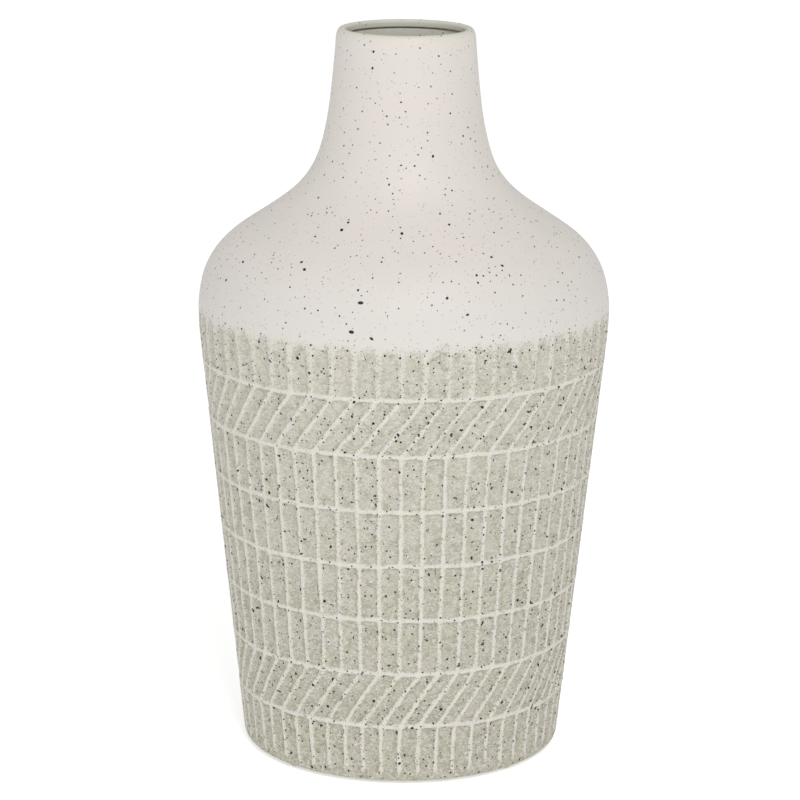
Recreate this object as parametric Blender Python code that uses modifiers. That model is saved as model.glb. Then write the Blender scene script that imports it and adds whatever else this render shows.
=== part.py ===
"""Tall stoneware bottle vase, modelled as the sections that a potter joins to build one.

The outer outline is one curve from the foot to the lip. The wall sections are cut from it, with stepped
(half-lap) joints between them, so that each piece seats inside its neighbour. All sizes are in metres.
"""

import math

import bmesh
import bpy

# Driving dimensions of the outer outline. Heights are measured up from the foot of the clay.
CLAY_HEIGHT = 0.4064
CONE_FOOT_RADIUS = 0.08984
CONE_TAPER = 0.1041
CONE_TOP_HEIGHT = 0.2359
FOOT_EDGE_RADIUS = 0.0039
SHOULDER_RADIUS = 0.08341
SHOULDER_HEIGHT = 0.30055
SHOULDER_SLOPE = math.radians(56.23)
BELLY_REACH = 0.04277
SHOULDER_REACH_DOWN = 0.02021
SHOULDER_REACH_UP = 0.04042
NECK_REACH = 0.07305
RIM_RADIUS = 0.03872
RIM_SLOPE = math.radians(4.44)
LIP_ROUND_WIDTH = 0.00291
LIP_ROUND_HEIGHT = 0.00695

# Wall thickness at three heights of the outline.
FOOT_WALL = 0.0068
BELLY_WALL = 0.0062
NECK_WALL = 0.0046

# Relief: flat panels sunk below the outline, with horizontal ridges left standing between them.
PANEL_DEPTH = 0.0008
RIDGE_COUNT = 7
LOWEST_RIDGE_HEIGHT = 0.0336
HIGHEST_RIDGE_HEIGHT = 0.2227
RIDGE_FOOT_WIDTH = 0.0034
RIDGE_CREST_WIDTH = 0.0013
PANEL_EDGE = 0.0016

# Joints between the sections.
CONTACT_GAP = 0.0003
LAP_LENGTH = 0.0060
FOOT_JOINT_HEIGHT = 0.0080
WALL_JOINT_HEIGHT = 0.1260
GLAZE_JOINT_HEIGHT = 0.2500
RIM_JOINT_HEIGHT = CLAY_HEIGHT - 0.0090

# Foot ring and floor.
FOOT_RING_INNER_RADIUS = 0.0740
FOOT_RING_CHAMFER = 0.0010
FLOOR_LEDGE_HEIGHT = 0.0060
FLOOR_UNDERSIDE_HEIGHT = 0.0030
FLOOR_TOP_HEIGHT = 0.0120
FLOOR_TOP_CHAMFER = 0.0010
TONGUE_HEIGHT = 0.0110
TONGUE_WIDTH = 0.0028

# Rim bead, which overhangs the inside of the neck.
BEAD_INNER_RADIUS = 0.0330
BEAD_DROP = 0.0042
BEAD_INNER_ROUND = 0.0019
BEAD_UNDER_ROUND = 0.0008

# Coils of clay pressed into the joints from inside.
FLOOR_COIL_LEG = 0.0100
FLOOR_COIL_EDGE = 0.0010
SEAM_COIL_HALF_WIDTH = 0.0080
SEAM_COIL_RISE = 0.0034
SEAM_COIL_EDGE = 0.0008

# Felt pads under the foot ring.
PAD_DIAMETER = 0.0090
PAD_THICKNESS = 0.0012
PAD_BEVEL = 0.0002
PAD_RING_RADIUS = 0.0806
PAD_SIDES = 24
PAD_PLACES = {"front_right": -45, "back_right": 45, "back_left": 135, "front_left": -135}

# The ground is at zero, so the clay stands on the pads.
CLAY_FOOT = PAD_THICKNESS + CONTACT_GAP

# Smoothness of the turned shapes.
TURN_STEPS = 48
CURVE_STEPS = 60
OUTER_BEND = math.radians(6)
INNER_BEND = math.radians(9)
EDGE_BEND = math.radians(17)
HEADING_REACH = 0.0012
ROUND_STEPS = 4
LEAST_STEP = 0.0015
SHARP_ANGLE = math.radians(32)
MERGE_DISTANCE = 0.00001

CREAM_GLAZE = {"color": (0.76, 0.73, 0.68), "roughness": 0.55}
TEXTURED_CLAY = {"color": (0.56, 0.54, 0.45), "roughness": 0.85}
BARE_CLAY = {"color": (0.50, 0.46, 0.38), "roughness": 0.9}
GREY_FELT = {"color": (0.22, 0.21, 0.20), "roughness": 1.0}


def remove_everything():
    """Empty the scene, so that only the vase is in it."""
    for obj in list(bpy.data.objects):
        bpy.data.objects.remove(obj, do_unlink=True)


def cubic(start, start_handle, end_handle, end, steps):
    """Points along a cubic Bezier curve, both ends included."""
    points = []
    for step in range(steps + 1):
        t = step / steps
        weights = ((1 - t) ** 3, 3 * (1 - t) ** 2 * t, 3 * (1 - t) * t**2, t**3)
        corners = (start, start_handle, end_handle, end)
        radius = sum(weight * corner[0] for weight, corner in zip(weights, corners))
        height = sum(weight * corner[1] for weight, corner in zip(weights, corners))
        points.append((radius, height))
    return points


def arc(centre, width, height, from_angle, to_angle, steps):
    """Points along an elliptical arc, both ends included; angles are measured up from +X."""
    points = []
    for step in range(steps + 1):
        angle = from_angle + (to_angle - from_angle) * step / steps
        points.append((centre[0] + width * math.cos(angle), centre[1] + height * math.sin(angle)))
    return points


def offset_along(point, angle_inwards, distance):
    """The point moved upwards by distance, in a direction leaning inwards by the angle."""
    return (
        point[0] - distance * math.sin(angle_inwards),
        point[1] + distance * math.cos(angle_inwards),
    )


def outline_points():
    """The outer outline of the clay, from the foot's flat face up to the top of the lip."""
    cone_lean = -math.atan(CONE_TAPER)
    cone_foot = (CONE_FOOT_RADIUS + CONE_TAPER * FOOT_EDGE_RADIUS, FOOT_EDGE_RADIUS)
    cone_top = (CONE_FOOT_RADIUS + CONE_TAPER * CONE_TOP_HEIGHT, CONE_TOP_HEIGHT)
    shoulder = (SHOULDER_RADIUS, SHOULDER_HEIGHT)
    rim = (RIM_RADIUS, CLAY_HEIGHT - LIP_ROUND_HEIGHT)

    edge_radius = FOOT_EDGE_RADIUS / (1 + math.sin(cone_lean))
    edge_centre = (cone_foot[0] - edge_radius * math.cos(cone_lean), edge_radius)
    foot_edge = arc(edge_centre, edge_radius, edge_radius, -math.pi / 2, cone_lean, CURVE_STEPS // 2)

    belly = cubic(
        cone_top,
        offset_along(cone_top, cone_lean, BELLY_REACH),
        offset_along(shoulder, SHOULDER_SLOPE, -SHOULDER_REACH_DOWN),
        shoulder,
        CURVE_STEPS,
    )
    neck = cubic(
        shoulder,
        offset_along(shoulder, SHOULDER_SLOPE, SHOULDER_REACH_UP),
        offset_along(rim, RIM_SLOPE, -NECK_REACH),
        rim,
        CURVE_STEPS,
    )
    lip_centre = (RIM_RADIUS - LIP_ROUND_WIDTH, CLAY_HEIGHT - LIP_ROUND_HEIGHT)
    lip = arc(lip_centre, LIP_ROUND_WIDTH, LIP_ROUND_HEIGHT, 0, math.pi / 2, CURVE_STEPS // 3)
    return foot_edge + belly + neck[1:] + lip[1:]


class Outline:
    """The outer outline, read by the length along it and the depth behind it."""

    def __init__(self, points):
        self.points = points
        self.lengths = [0.0]
        for before, after in zip(points, points[1:]):
            self.lengths.append(self.lengths[-1] + math.dist(before, after))

    def segment(self, length):
        """The index of the straight stretch that holds this length."""
        for index in range(len(self.lengths) - 2):
            if length < self.lengths[index + 1]:
                return index
        return len(self.lengths) - 2

    def length_at_height(self, height):
        """The length along the outline at which it passes this height."""
        for index, (before, after) in enumerate(zip(self.points, self.points[1:])):
            if before[1] <= height <= after[1]:
                share = (height - before[1]) / (after[1] - before[1])
                return self.lengths[index] + share * (self.lengths[index + 1] - self.lengths[index])
        return self.lengths[-1]

    def heading(self, length):
        """The direction of travel up the outline, as an angle up from +X."""
        index = self.segment(length)
        before, after = self.points[index], self.points[index + 1]
        return math.atan2(after[1] - before[1], after[0] - before[0])

    def smooth_heading(self, length):
        """The heading, taken across a short reach either side, so that offsets stay even."""
        low = self.place_on(max(length - HEADING_REACH, 0.0))
        high = self.place_on(min(length + HEADING_REACH, self.lengths[-1]))
        return math.atan2(high[1] - low[1], high[0] - low[0])

    def place_on(self, length):
        """The point on the outline at this length."""
        index = self.segment(length)
        share = (length - self.lengths[index]) / (self.lengths[index + 1] - self.lengths[index])
        before, after = self.points[index], self.points[index + 1]
        return (
            before[0] + share * (after[0] - before[0]),
            before[1] + share * (after[1] - before[1]),
        )

    def place(self, length, depth):
        """The point at this length, moved into the clay by the depth."""
        radius, height = self.place_on(length)
        heading = self.smooth_heading(length)
        return (radius - depth * math.sin(heading), height + depth * math.cos(heading))

    def stations(self, start, end, bend):
        """Lengths from start to end, close enough that the outline turns by at most the bend between them."""
        found = [start]
        turned = 0.0
        last = self.heading(start)
        for length in self.lengths:
            if not start < length < end:
                continue
            heading = self.heading(length + MERGE_DISTANCE)
            turned += abs(heading - last)
            last = heading
            if turned >= bend:
                found.append(length)
                turned = 0.0
        found.append(end)
        return found


OUTLINE = Outline(outline_points())
FOOT_JOINT = OUTLINE.length_at_height(FOOT_JOINT_HEIGHT)
WALL_JOINT = OUTLINE.length_at_height(WALL_JOINT_HEIGHT)
GLAZE_JOINT = OUTLINE.length_at_height(GLAZE_JOINT_HEIGHT)
SHOULDER_JOINT = OUTLINE.length_at_height(SHOULDER_HEIGHT)
RIM_JOINT = OUTLINE.length_at_height(RIM_JOINT_HEIGHT)


def wall_thickness(length):
    """The wall's thickness, thinning from the foot to the belly and on to the neck."""
    height = OUTLINE.place_on(length)[1]
    if height < CONE_TOP_HEIGHT:
        return FOOT_WALL + (BELLY_WALL - FOOT_WALL) * height / CONE_TOP_HEIGHT
    share = min((height - CONE_TOP_HEIGHT) / (RIM_JOINT_HEIGHT - CONE_TOP_HEIGHT), 1.0)
    return BELLY_WALL + (NECK_WALL - BELLY_WALL) * share


def outer(length, depth=0.0):
    """A point of the outer face."""
    return OUTLINE.place(length, depth)


def inner(length):
    """A point of the inner face."""
    return OUTLINE.place(length, wall_thickness(length))


def middle(length, side):
    """A point of a lap's face: side is +1 on the section below the joint and -1 on the one above it."""
    return OUTLINE.place(length, wall_thickness(length) / 2 + side * CONTACT_GAP / 2)


def ridge_lengths():
    """Where each horizontal ridge crosses the outline, from the lowest up."""
    pitch = (HIGHEST_RIDGE_HEIGHT - LOWEST_RIDGE_HEIGHT) / (RIDGE_COUNT - 1)
    return [OUTLINE.length_at_height(LOWEST_RIDGE_HEIGHT + pitch * i) for i in range(RIDGE_COUNT)]


def patterned_face(start, end):
    """The outer face from start up to end: panels at their depth, with each ridge standing between them."""
    face = []
    for length in ridge_lengths():
        if start < length < end:
            face.append((length - RIDGE_FOOT_WIDTH / 2, PANEL_DEPTH))
            face.append((length - RIDGE_CREST_WIDTH / 2, 0.0))
            face.append((length + RIDGE_CREST_WIDTH / 2, 0.0))
            face.append((length + RIDGE_FOOT_WIDTH / 2, PANEL_DEPTH))
    for length in OUTLINE.stations(start, end, OUTER_BEND)[1:-1]:
        if all(abs(length - ridge) > RIDGE_FOOT_WIDTH for ridge in ridge_lengths()):
            face.append((length, PANEL_DEPTH))
    return [outer(length, depth) for length, depth in sorted(face)]


def lap_above(joint):
    """The top of a section: its outer half stops at the joint, its inner half stands up as the tongue."""
    return [inner(joint + LAP_LENGTH), middle(joint + LAP_LENGTH, 1), middle(joint, 1)]


def lap_below(joint):
    """The bottom of a section, from its outer face inwards: the outer half covers the tongue below it."""
    low = joint + CONTACT_GAP
    high = joint + LAP_LENGTH + CONTACT_GAP
    return [middle(low, -1), middle(high, -1), inner(high)]


def seam_coil_lengths(joint):
    """The lower edge, middle and upper edge of the coil over a joint, as lengths along the outline."""
    centre = joint + LAP_LENGTH / 2
    return [centre - SEAM_COIL_HALF_WIDTH, centre, centre + SEAM_COIL_HALF_WIDTH]


def inner_face(start, end):
    """The inner face from start up to end, without its ends. It bends where the coils that lie on it do."""
    shared = seam_coil_lengths(WALL_JOINT) + seam_coil_lengths(GLAZE_JOINT)
    lengths = [length for length in shared if start + LEAST_STEP < length < end - LEAST_STEP]
    for length in OUTLINE.stations(start, end, INNER_BEND)[1:-1]:
        if all(abs(length - other) > LEAST_STEP for other in shared):
            lengths.append(length)
    return [inner(length) for length in sorted(lengths)]


def tongue_radii():
    """The inner and outer radius of the tongue on top of the foot ring."""
    inside = inner(FOOT_JOINT)[0]
    return inside, inside + TONGUE_WIDTH


def foot_ring_profile():
    """The turned foot: rounded outer edge, flat resting face, floor ledge, and a tongue for the wall."""
    tongue_inside, tongue_outside = tongue_radii()
    down_the_outside = [outer(length) for length in OUTLINE.stations(0.0, FOOT_JOINT, EDGE_BEND)]
    return down_the_outside[::-1] + [
        (FOOT_RING_INNER_RADIUS + FOOT_RING_CHAMFER, 0.0),
        (FOOT_RING_INNER_RADIUS, FOOT_RING_CHAMFER),
        (FOOT_RING_INNER_RADIUS, FLOOR_LEDGE_HEIGHT),
        (tongue_inside, FLOOR_LEDGE_HEIGHT),
        (tongue_inside, TONGUE_HEIGHT),
        (tongue_outside, TONGUE_HEIGHT),
        (tongue_outside, outer(FOOT_JOINT)[1]),
    ]


def floor_disc_profile():
    """The floor slab: a plug that fits inside the foot ring, under a flange that rests on its ledge."""
    flange_radius = tongue_radii()[0] - CONTACT_GAP
    plug_radius = FOOT_RING_INNER_RADIUS - CONTACT_GAP
    ledge = FLOOR_LEDGE_HEIGHT + CONTACT_GAP
    return [
        (0.0, FLOOR_TOP_HEIGHT),
        (flange_radius - FLOOR_TOP_CHAMFER, FLOOR_TOP_HEIGHT),
        (flange_radius, FLOOR_TOP_HEIGHT - FLOOR_TOP_CHAMFER),
        (flange_radius, ledge),
        (plug_radius, ledge),
        (plug_radius, FLOOR_UNDERSIDE_HEIGHT),
        (0.0, FLOOR_UNDERSIDE_HEIGHT),
    ]


def lower_wall_profile():
    """The lower patterned wall, from the foot ring's tongue to the joint half way up."""
    tongue_outside = tongue_radii()[1]
    start = FOOT_JOINT + CONTACT_GAP
    panel_foot = outer(start + PANEL_EDGE, PANEL_DEPTH)
    above_tongue = TONGUE_HEIGHT + CONTACT_GAP
    outside = [outer(start), panel_foot] + patterned_face(start, WALL_JOINT)
    outside.append(outer(WALL_JOINT, PANEL_DEPTH))
    return outside[::-1] + [
        (tongue_outside + CONTACT_GAP, outside[0][1]),
        (tongue_outside + CONTACT_GAP, above_tongue),
        (inner(OUTLINE.length_at_height(above_tongue))[0], above_tongue),
    ] + inner_face(start, WALL_JOINT + LAP_LENGTH) + lap_above(WALL_JOINT)


def upper_wall_profile():
    """The upper patterned wall, up over the belly to where the glaze begins."""
    start = WALL_JOINT + CONTACT_GAP
    panel_top = outer(GLAZE_JOINT - PANEL_EDGE, PANEL_DEPTH)
    outside = [outer(start, PANEL_DEPTH)] + patterned_face(start, GLAZE_JOINT - PANEL_EDGE)
    outside += [panel_top, outer(GLAZE_JOINT)]
    inside = inner_face(WALL_JOINT + LAP_LENGTH + CONTACT_GAP, GLAZE_JOINT + LAP_LENGTH)
    return outside[::-1] + lap_below(WALL_JOINT) + inside + lap_above(GLAZE_JOINT)


def smooth_section_profile(below, above):
    """A plain section between two lap joints, such as the shoulder or the neck."""
    outside = [outer(length) for length in OUTLINE.stations(below + CONTACT_GAP, above, OUTER_BEND)]
    inside = inner_face(below + LAP_LENGTH + CONTACT_GAP, above + LAP_LENGTH)
    return outside[::-1] + lap_below(below) + inside + lap_above(above)


def neck_top():
    """The top of the neck: a shoulder for the bead's skirt, and a tongue that stands up inside it."""
    tongue_top = CLAY_HEIGHT - BEAD_DROP - CONTACT_GAP
    tongue_inside = inner(RIM_JOINT)[0]
    tongue_outside = middle(RIM_JOINT, 1)[0]
    return [
        (tongue_inside, tongue_top),
        (tongue_outside, tongue_top),
        (tongue_outside, outer(RIM_JOINT)[1]),
    ]


def neck_profile():
    """The flared neck, from the shoulder's steepest slope up to the rim."""
    start = SHOULDER_JOINT + CONTACT_GAP
    outside = [outer(length) for length in OUTLINE.stations(start, RIM_JOINT, OUTER_BEND)]
    inside = inner_face(start + LAP_LENGTH, RIM_JOINT)
    return outside[::-1] + lap_below(SHOULDER_JOINT) + inside + neck_top()


def rim_bead_profile():
    """The rolled lip: rounded outside and in, with a skirt over the neck's tongue and a bead inside it."""
    start = RIM_JOINT + CONTACT_GAP
    skirt_inside = middle(RIM_JOINT, 1)[0] + CONTACT_GAP
    outside = [outer(length) for length in OUTLINE.stations(start, OUTLINE.lengths[-1], EDGE_BEND)]
    bead_bottom = CLAY_HEIGHT - BEAD_DROP
    under_centre = (BEAD_INNER_RADIUS + BEAD_UNDER_ROUND, bead_bottom + BEAD_UNDER_ROUND)
    inner_centre = (BEAD_INNER_RADIUS + BEAD_INNER_ROUND, CLAY_HEIGHT - BEAD_INNER_ROUND)
    under = arc(under_centre, BEAD_UNDER_ROUND, BEAD_UNDER_ROUND, -math.pi / 2, -math.pi, ROUND_STEPS // 2)
    inside = arc(inner_centre, BEAD_INNER_ROUND, BEAD_INNER_ROUND, math.pi, math.pi / 2, ROUND_STEPS)
    below = [(skirt_inside, outside[0][1]), (skirt_inside, bead_bottom)]
    return outside[::-1] + below + under + inside


def floor_coil_profile():
    """A coil pressed into the corner between the floor and the wall, with a hollowed face."""
    floor = FLOOR_TOP_HEIGHT + CONTACT_GAP
    top = floor + FLOOR_COIL_LEG
    wall_low = inner(OUTLINE.length_at_height(floor))[0] - CONTACT_GAP
    wall_high = inner(OUTLINE.length_at_height(top))[0] - CONTACT_GAP
    hollow_centre = (wall_low - FLOOR_COIL_LEG, top)
    hollow_radius = FLOOR_COIL_LEG - FLOOR_COIL_EDGE
    hollow = arc(hollow_centre, hollow_radius, hollow_radius, -math.pi / 2, 0, ROUND_STEPS)
    return [(wall_high, top), (wall_low, floor), (wall_low - FLOOR_COIL_LEG, floor)] + hollow


def seam_coil_profile(joint):
    """A flattened coil pressed over the inside of a lap joint."""
    low, centre, high = seam_coil_lengths(joint)
    back = [OUTLINE.place(length, wall_thickness(length) + CONTACT_GAP) for length in (high, centre, low)]
    face = []
    for step in range(ROUND_STEPS + 1):
        across = -1 + 2 * step / ROUND_STEPS
        length = centre + across * SEAM_COIL_HALF_WIDTH
        bulge = (SEAM_COIL_RISE - SEAM_COIL_EDGE) * math.cos(across * math.pi / 2)
        depth = wall_thickness(length) + CONTACT_GAP + SEAM_COIL_EDGE + bulge
        face.append(OUTLINE.place(length, depth))
    return back + face


def principled(name, finish):
    """A plain material in the finish's colour and roughness."""
    material = bpy.data.materials.new(name)
    material.use_nodes = True
    shader = material.node_tree.nodes["Principled BSDF"]
    shader.inputs["Base Color"].default_value = (*finish["color"], 1.0)
    shader.inputs["Roughness"].default_value = finish["roughness"]
    shader.inputs["Metallic"].default_value = 0.0
    return material


def add_to_vase(obj, finish):
    """Put a finished object in the vase's collection, with its own material and smooth round faces."""
    for collection in list(obj.users_collection):
        collection.objects.unlink(obj)
    VASE.objects.link(obj)
    obj.data.materials.clear()
    obj.data.materials.append(principled(obj.name + "_finish", finish))
    obj.data.shade_smooth()
    obj.data.set_sharp_from_angle(angle=SHARP_ANGLE)


def turned(name, profile, finish):
    """Turn a profile about Z with a Screw modifier, and keep the result as a plain mesh."""
    mesh = bpy.data.meshes.new(name + "_profile")
    points = [(radius, 0.0, height + CLAY_FOOT) for radius, height in profile]
    edges = [(index, index + 1) for index in range(len(points) - 1)]
    if profile[0][0] > 0:
        edges.append((len(points) - 1, 0))
    mesh.from_pydata(points, edges, [])
    guide = bpy.data.objects.new(name + "_guide", mesh)
    bpy.context.scene.collection.objects.link(guide)

    screw = guide.modifiers.new("Turn", "SCREW")
    screw.axis = "Z"
    screw.steps = TURN_STEPS
    screw.render_steps = TURN_STEPS
    screw.use_merge_vertices = True
    screw.merge_threshold = MERGE_DISTANCE

    graph = bpy.context.evaluated_depsgraph_get()
    solid = bpy.data.meshes.new_from_object(guide.evaluated_get(graph))
    solid.name = name
    bpy.data.objects.remove(guide, do_unlink=True)
    obj = bpy.data.objects.new(name, solid)
    add_to_vase(obj, finish)
    return obj


def felt_pad(name, bearing):
    """A round felt pad under the foot ring, at this bearing in degrees from +X."""
    pad = bmesh.new()
    bmesh.ops.create_cone(
        pad,
        cap_ends=True,
        segments=PAD_SIDES,
        radius1=PAD_DIAMETER / 2,
        radius2=PAD_DIAMETER / 2,
        depth=PAD_THICKNESS,
    )
    mesh = bpy.data.meshes.new(name)
    pad.to_mesh(mesh)
    pad.free()
    obj = bpy.data.objects.new(name, mesh)
    angle = math.radians(bearing)
    obj.location = (
        PAD_RING_RADIUS * math.cos(angle),
        PAD_RING_RADIUS * math.sin(angle),
        PAD_THICKNESS / 2,
    )
    bevel = obj.modifiers.new("Soft edge", "BEVEL")
    bevel.width = PAD_BEVEL
    bevel.segments = 1
    add_to_vase(obj, GREY_FELT)
    return obj


remove_everything()
VASE = bpy.data.collections.new("stoneware_vase")
bpy.context.scene.collection.children.link(VASE)

turned("foot_ring", foot_ring_profile(), TEXTURED_CLAY)
turned("floor_disc", floor_disc_profile(), BARE_CLAY)
turned("lower_wall", lower_wall_profile(), TEXTURED_CLAY)
turned("upper_wall", upper_wall_profile(), TEXTURED_CLAY)
turned("shoulder", smooth_section_profile(GLAZE_JOINT, SHOULDER_JOINT), CREAM_GLAZE)
turned("neck", neck_profile(), CREAM_GLAZE)
turned("rim_bead", rim_bead_profile(), CREAM_GLAZE)
turned("floor_seam_coil", floor_coil_profile(), BARE_CLAY)
turned("wall_seam_coil", seam_coil_profile(WALL_JOINT), BARE_CLAY)
turned("shoulder_seam_coil", seam_coil_profile(GLAZE_JOINT), BARE_CLAY)
for place, bearing in PAD_PLACES.items():
    felt_pad("felt_pad_" + place, bearing)
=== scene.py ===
"""Looks of the stoneware bottle vase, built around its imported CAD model.

The outer skin is one grid of points, turned about Z. Its columns lean and wander with the hand-carved
ribs, so that the ribs are real relief. Each clay piece is cut from that grid and closed with its joint faces
and its inner face. Sizes are in metres; clay heights are measured up from the foot of the clay.
"""

import math

import bpy
import numpy as np
from mathutils import Matrix, Vector


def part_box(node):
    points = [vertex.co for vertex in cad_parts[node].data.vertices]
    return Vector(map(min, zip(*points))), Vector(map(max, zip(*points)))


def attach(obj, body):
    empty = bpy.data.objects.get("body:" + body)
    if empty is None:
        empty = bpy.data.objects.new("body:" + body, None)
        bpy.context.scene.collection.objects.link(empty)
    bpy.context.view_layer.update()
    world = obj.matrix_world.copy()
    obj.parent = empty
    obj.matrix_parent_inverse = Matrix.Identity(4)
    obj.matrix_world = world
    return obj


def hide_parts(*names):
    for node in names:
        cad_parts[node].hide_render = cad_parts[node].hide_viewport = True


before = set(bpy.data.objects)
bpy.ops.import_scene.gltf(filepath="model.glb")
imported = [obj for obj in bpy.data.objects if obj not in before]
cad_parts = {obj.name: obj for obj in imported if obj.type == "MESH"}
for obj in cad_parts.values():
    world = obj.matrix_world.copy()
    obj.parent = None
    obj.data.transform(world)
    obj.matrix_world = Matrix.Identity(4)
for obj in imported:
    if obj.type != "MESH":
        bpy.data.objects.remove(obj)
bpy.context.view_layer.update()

# The outline of the clay, as in the CAD model.
CLAY_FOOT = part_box("foot_ring")[0].z
CLAY_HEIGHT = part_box("rim_bead")[1].z - CLAY_FOOT
CONE_FOOT_RADIUS = 0.08984
CONE_TAPER = 0.1041
CONE_TOP_HEIGHT = 0.2359
FOOT_EDGE_RADIUS = 0.0039
SHOULDER_RADIUS = 0.08341
SHOULDER_HEIGHT = 0.30055
SHOULDER_SLOPE = math.radians(56.23)
BELLY_REACH = 0.04277
SHOULDER_REACH_DOWN = 0.02021
SHOULDER_REACH_UP = 0.04042
NECK_REACH = 0.07305
RIM_RADIUS = 0.03872
RIM_SLOPE = math.radians(4.44)
LIP_ROUND_WIDTH = 0.00291
LIP_ROUND_HEIGHT = 0.00695

# Carved ribs: horizontal bands, with vertical or leaning ribs between them.
CELLS = 56
FIRST_RIB_ANGLE = math.radians(-0.5)
RIB_ANGLE_DRIFT = 0.009
LOWEST_BAND_HEIGHT = 0.0336
HIGHEST_BAND_HEIGHT = 0.2227
BAND_COUNT = 7
LEANING_ROWS = (1, 6)
LEAN_CELLS = 2
GLAZE_EDGE_HEIGHT = 0.2505
PATTERN_FOOT_LOW = 0.0020
PATTERN_FOOT_HIGH = 0.0080
FOOT_FADE_HEIGHT = 0.0095
RELIEF_DEPTH = 0.00110
RIB_HALF_FLAT = 0.00045
BAND_HALF_FLAT = 0.00062
RIB_EDGE = 0.0014
RIB_UNEVEN = 0.00030
# Ribs are crisper on the left and softer and wider on the right, in relief and in cream colour: the relief is
# real, and the wider cream on the right is partly painted light.
RIB_LEFT_EDGE = 0.85
RIB_RIGHT_EDGE = 1.35
PANEL_SCOOP = 0.5
# Painted shade on the panel left of each rib and below each band, and weaker painted light right of each rib
# and above each band, as if lit from the upper right.
PAINTED_SHADE_REACH = 0.0034
PAINTED_LIGHT_SHARE = 0.4
TOP_ROW_SOFTER = 0.0013
TOP_ROW_FAINTER = 0.25
ARCH_RADIUS = 0.0026
RIB_JITTER_CELLS = 0.035
WANDER_FOOT_LOW = 0.0020
WANDER_FOOT_HIGH = 0.0120
WANDER_FADE = 0.0120
RIB_WANDER = 0.00022
BAND_WANDER = 0.00045
RIB_WIDTHS = (0.90, 1.30)
RIB_RISES = (0.80, 1.0)
PANEL_DEPTHS = (0.85, 1.10)
BREAK_PLACES = (-6.0, 7.0)
BREAK_DEPTH = 0.42
BREAK_REACH = 0.06
TOP_ROW_FLARE = 0.00030
GLAZE_EDGE_RAGGED = 0.0018
GLAZE_EDGE_MARGIN = 0.0060
GLAZE_RAMP_BELOW = 0.0016
GLAZE_RAMP_ABOVE = 0.0006
GLAZE_OVERLAP = 0.0010
GLAZE_FADE = 0.0060
GLAZE_FADE_CREAM = 0.70
GLAZE_HALO_WIDTH = 0.0100
THIN_GLAZE_HEIGHT = 0.0040
NECK_GLAZE_HEIGHTS = (0.30, 0.36)
LOW_GLAZE_HEIGHTS = (0.30, 0.265)
NECK_GLAZE_SHARE = 0.22
CARVED_UNEVEN = 0.00008
GLAZE_UNEVEN = 0.00012

# How fine the outer skin is.
COLUMN_STEPS = (-0.40, -0.29, -0.19, -0.135, -0.09, -0.045, 0.0, 0.045, 0.09, 0.135, 0.19, 0.29, 0.40, 0.5)
BAND_STEPS = (0.0, 0.0006, 0.0012, 0.0018, 0.0028)
PATTERN_STEP = 0.0019
PLAIN_STEP = 0.0021
EDGE_STEP = 0.0007
SHARP_ANGLE = math.radians(50)
# The last mask is painted shade (above 0) and painted light (below 0) beside the ribs and bands.
MASKS = ("cream", "glaze", "tint", "painted_light_and_shade")
CURVE_STEPS = 240
TOLERANCE = 1e-7
SEED = 12

# Joints, laps and inner faces, as in the CAD model.
FOOT_WALL = 0.0068
BELLY_WALL = 0.0062
NECK_WALL = 0.0046
CONTACT_GAP = 0.0003
LAP_LENGTH = 0.0060
FOOT_JOINT_HEIGHT = 0.0080
WALL_JOINT_HEIGHT = 0.1260
GLAZE_JOINT_HEIGHT = 0.2500
RIM_JOINT_HEIGHT = CLAY_HEIGHT - 0.0090
FOOT_RING_INNER_RADIUS = 0.0740
FLOOR_LEDGE_HEIGHT = 0.0060
FLOOR_UNDERSIDE_HEIGHT = 0.0030
FLOOR_TOP_HEIGHT = 0.0120
TONGUE_HEIGHT = 0.0110
TONGUE_WIDTH = 0.0028
BEAD_INNER_RADIUS = 0.0330
BEAD_DROP = 0.0042
FLOOR_COIL_LEG = 0.0100
FLOOR_COIL_EDGE = 0.0010
SEAM_COIL_HALF_WIDTH = 0.0080
SEAM_COIL_RISE = 0.0034
SEAM_COIL_EDGE = 0.0008

# Marks left by turning, throwing and pressing, and rounded edges.
INNER_STEP = 0.0042
THROWING_PITCH = 0.0140
THROWING_DEPTH = 0.0004
TRIMMING_RINGS = 16
TRIMMING_DEPTH = 0.00012
TRIMMING_PITCH = 0.0022
FOOT_RING_ROUND = 0.0010
TONGUE_ROUND = 0.0014
BEAD_TOP_ROUND = 0.0019
BEAD_UNDER_ROUND = 0.0008
FLOOR_ROUND = 0.0008
FLOOR_RINGS = 120
FLOOR_HOLLOW = 0.0006
AXIS_CAP_RADIUS = 0.0006
PLAIN_COLUMNS = 256
COIL_STEPS = 10
COIL_PRESSES = 44
COIL_PRESS_DEPTH = 0.22
COIL_LUMPS = 0.10
PAD_EDGE_ROUND = 0.0003
PAD_CAP_RADIUS = 0.0003
PAD_RINGS = 12
PAD_COLUMNS = 72
PAD_FUZZ = 0.00005

# Colours are linear, as a shader takes them.
PANEL_GREEN = (0.459, 0.455, 0.360)
PANEL_LAVENDER = (0.487, 0.464, 0.396)
PANEL_TOP = (0.610, 0.588, 0.520)
RIB_WARM = (0.624, 0.608, 0.528)
RIB_COOL = (0.624, 0.599, 0.550)
GLAZE_HALO = (0.575, 0.552, 0.528)
GLAZE_LOW = (0.592, 0.568, 0.540)
GLAZE_GREEN = (0.638, 0.612, 0.562)
GLAZE_PINK = (0.656, 0.613, 0.578)
GLAZE_THIN = (0.590, 0.578, 0.505)
NECK_GLAZE = (0.440, 0.412, 0.390)
SPECK_DARK = (0.014, 0.013, 0.012)
SPECK_FAINT = (0.250, 0.230, 0.190)
BARE_WARM = (0.480, 0.430, 0.340)
BARE_GREY = (0.450, 0.425, 0.360)
BARE_SAND = (0.600, 0.560, 0.470)
FELT_DARK = (0.100, 0.097, 0.092)
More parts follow.
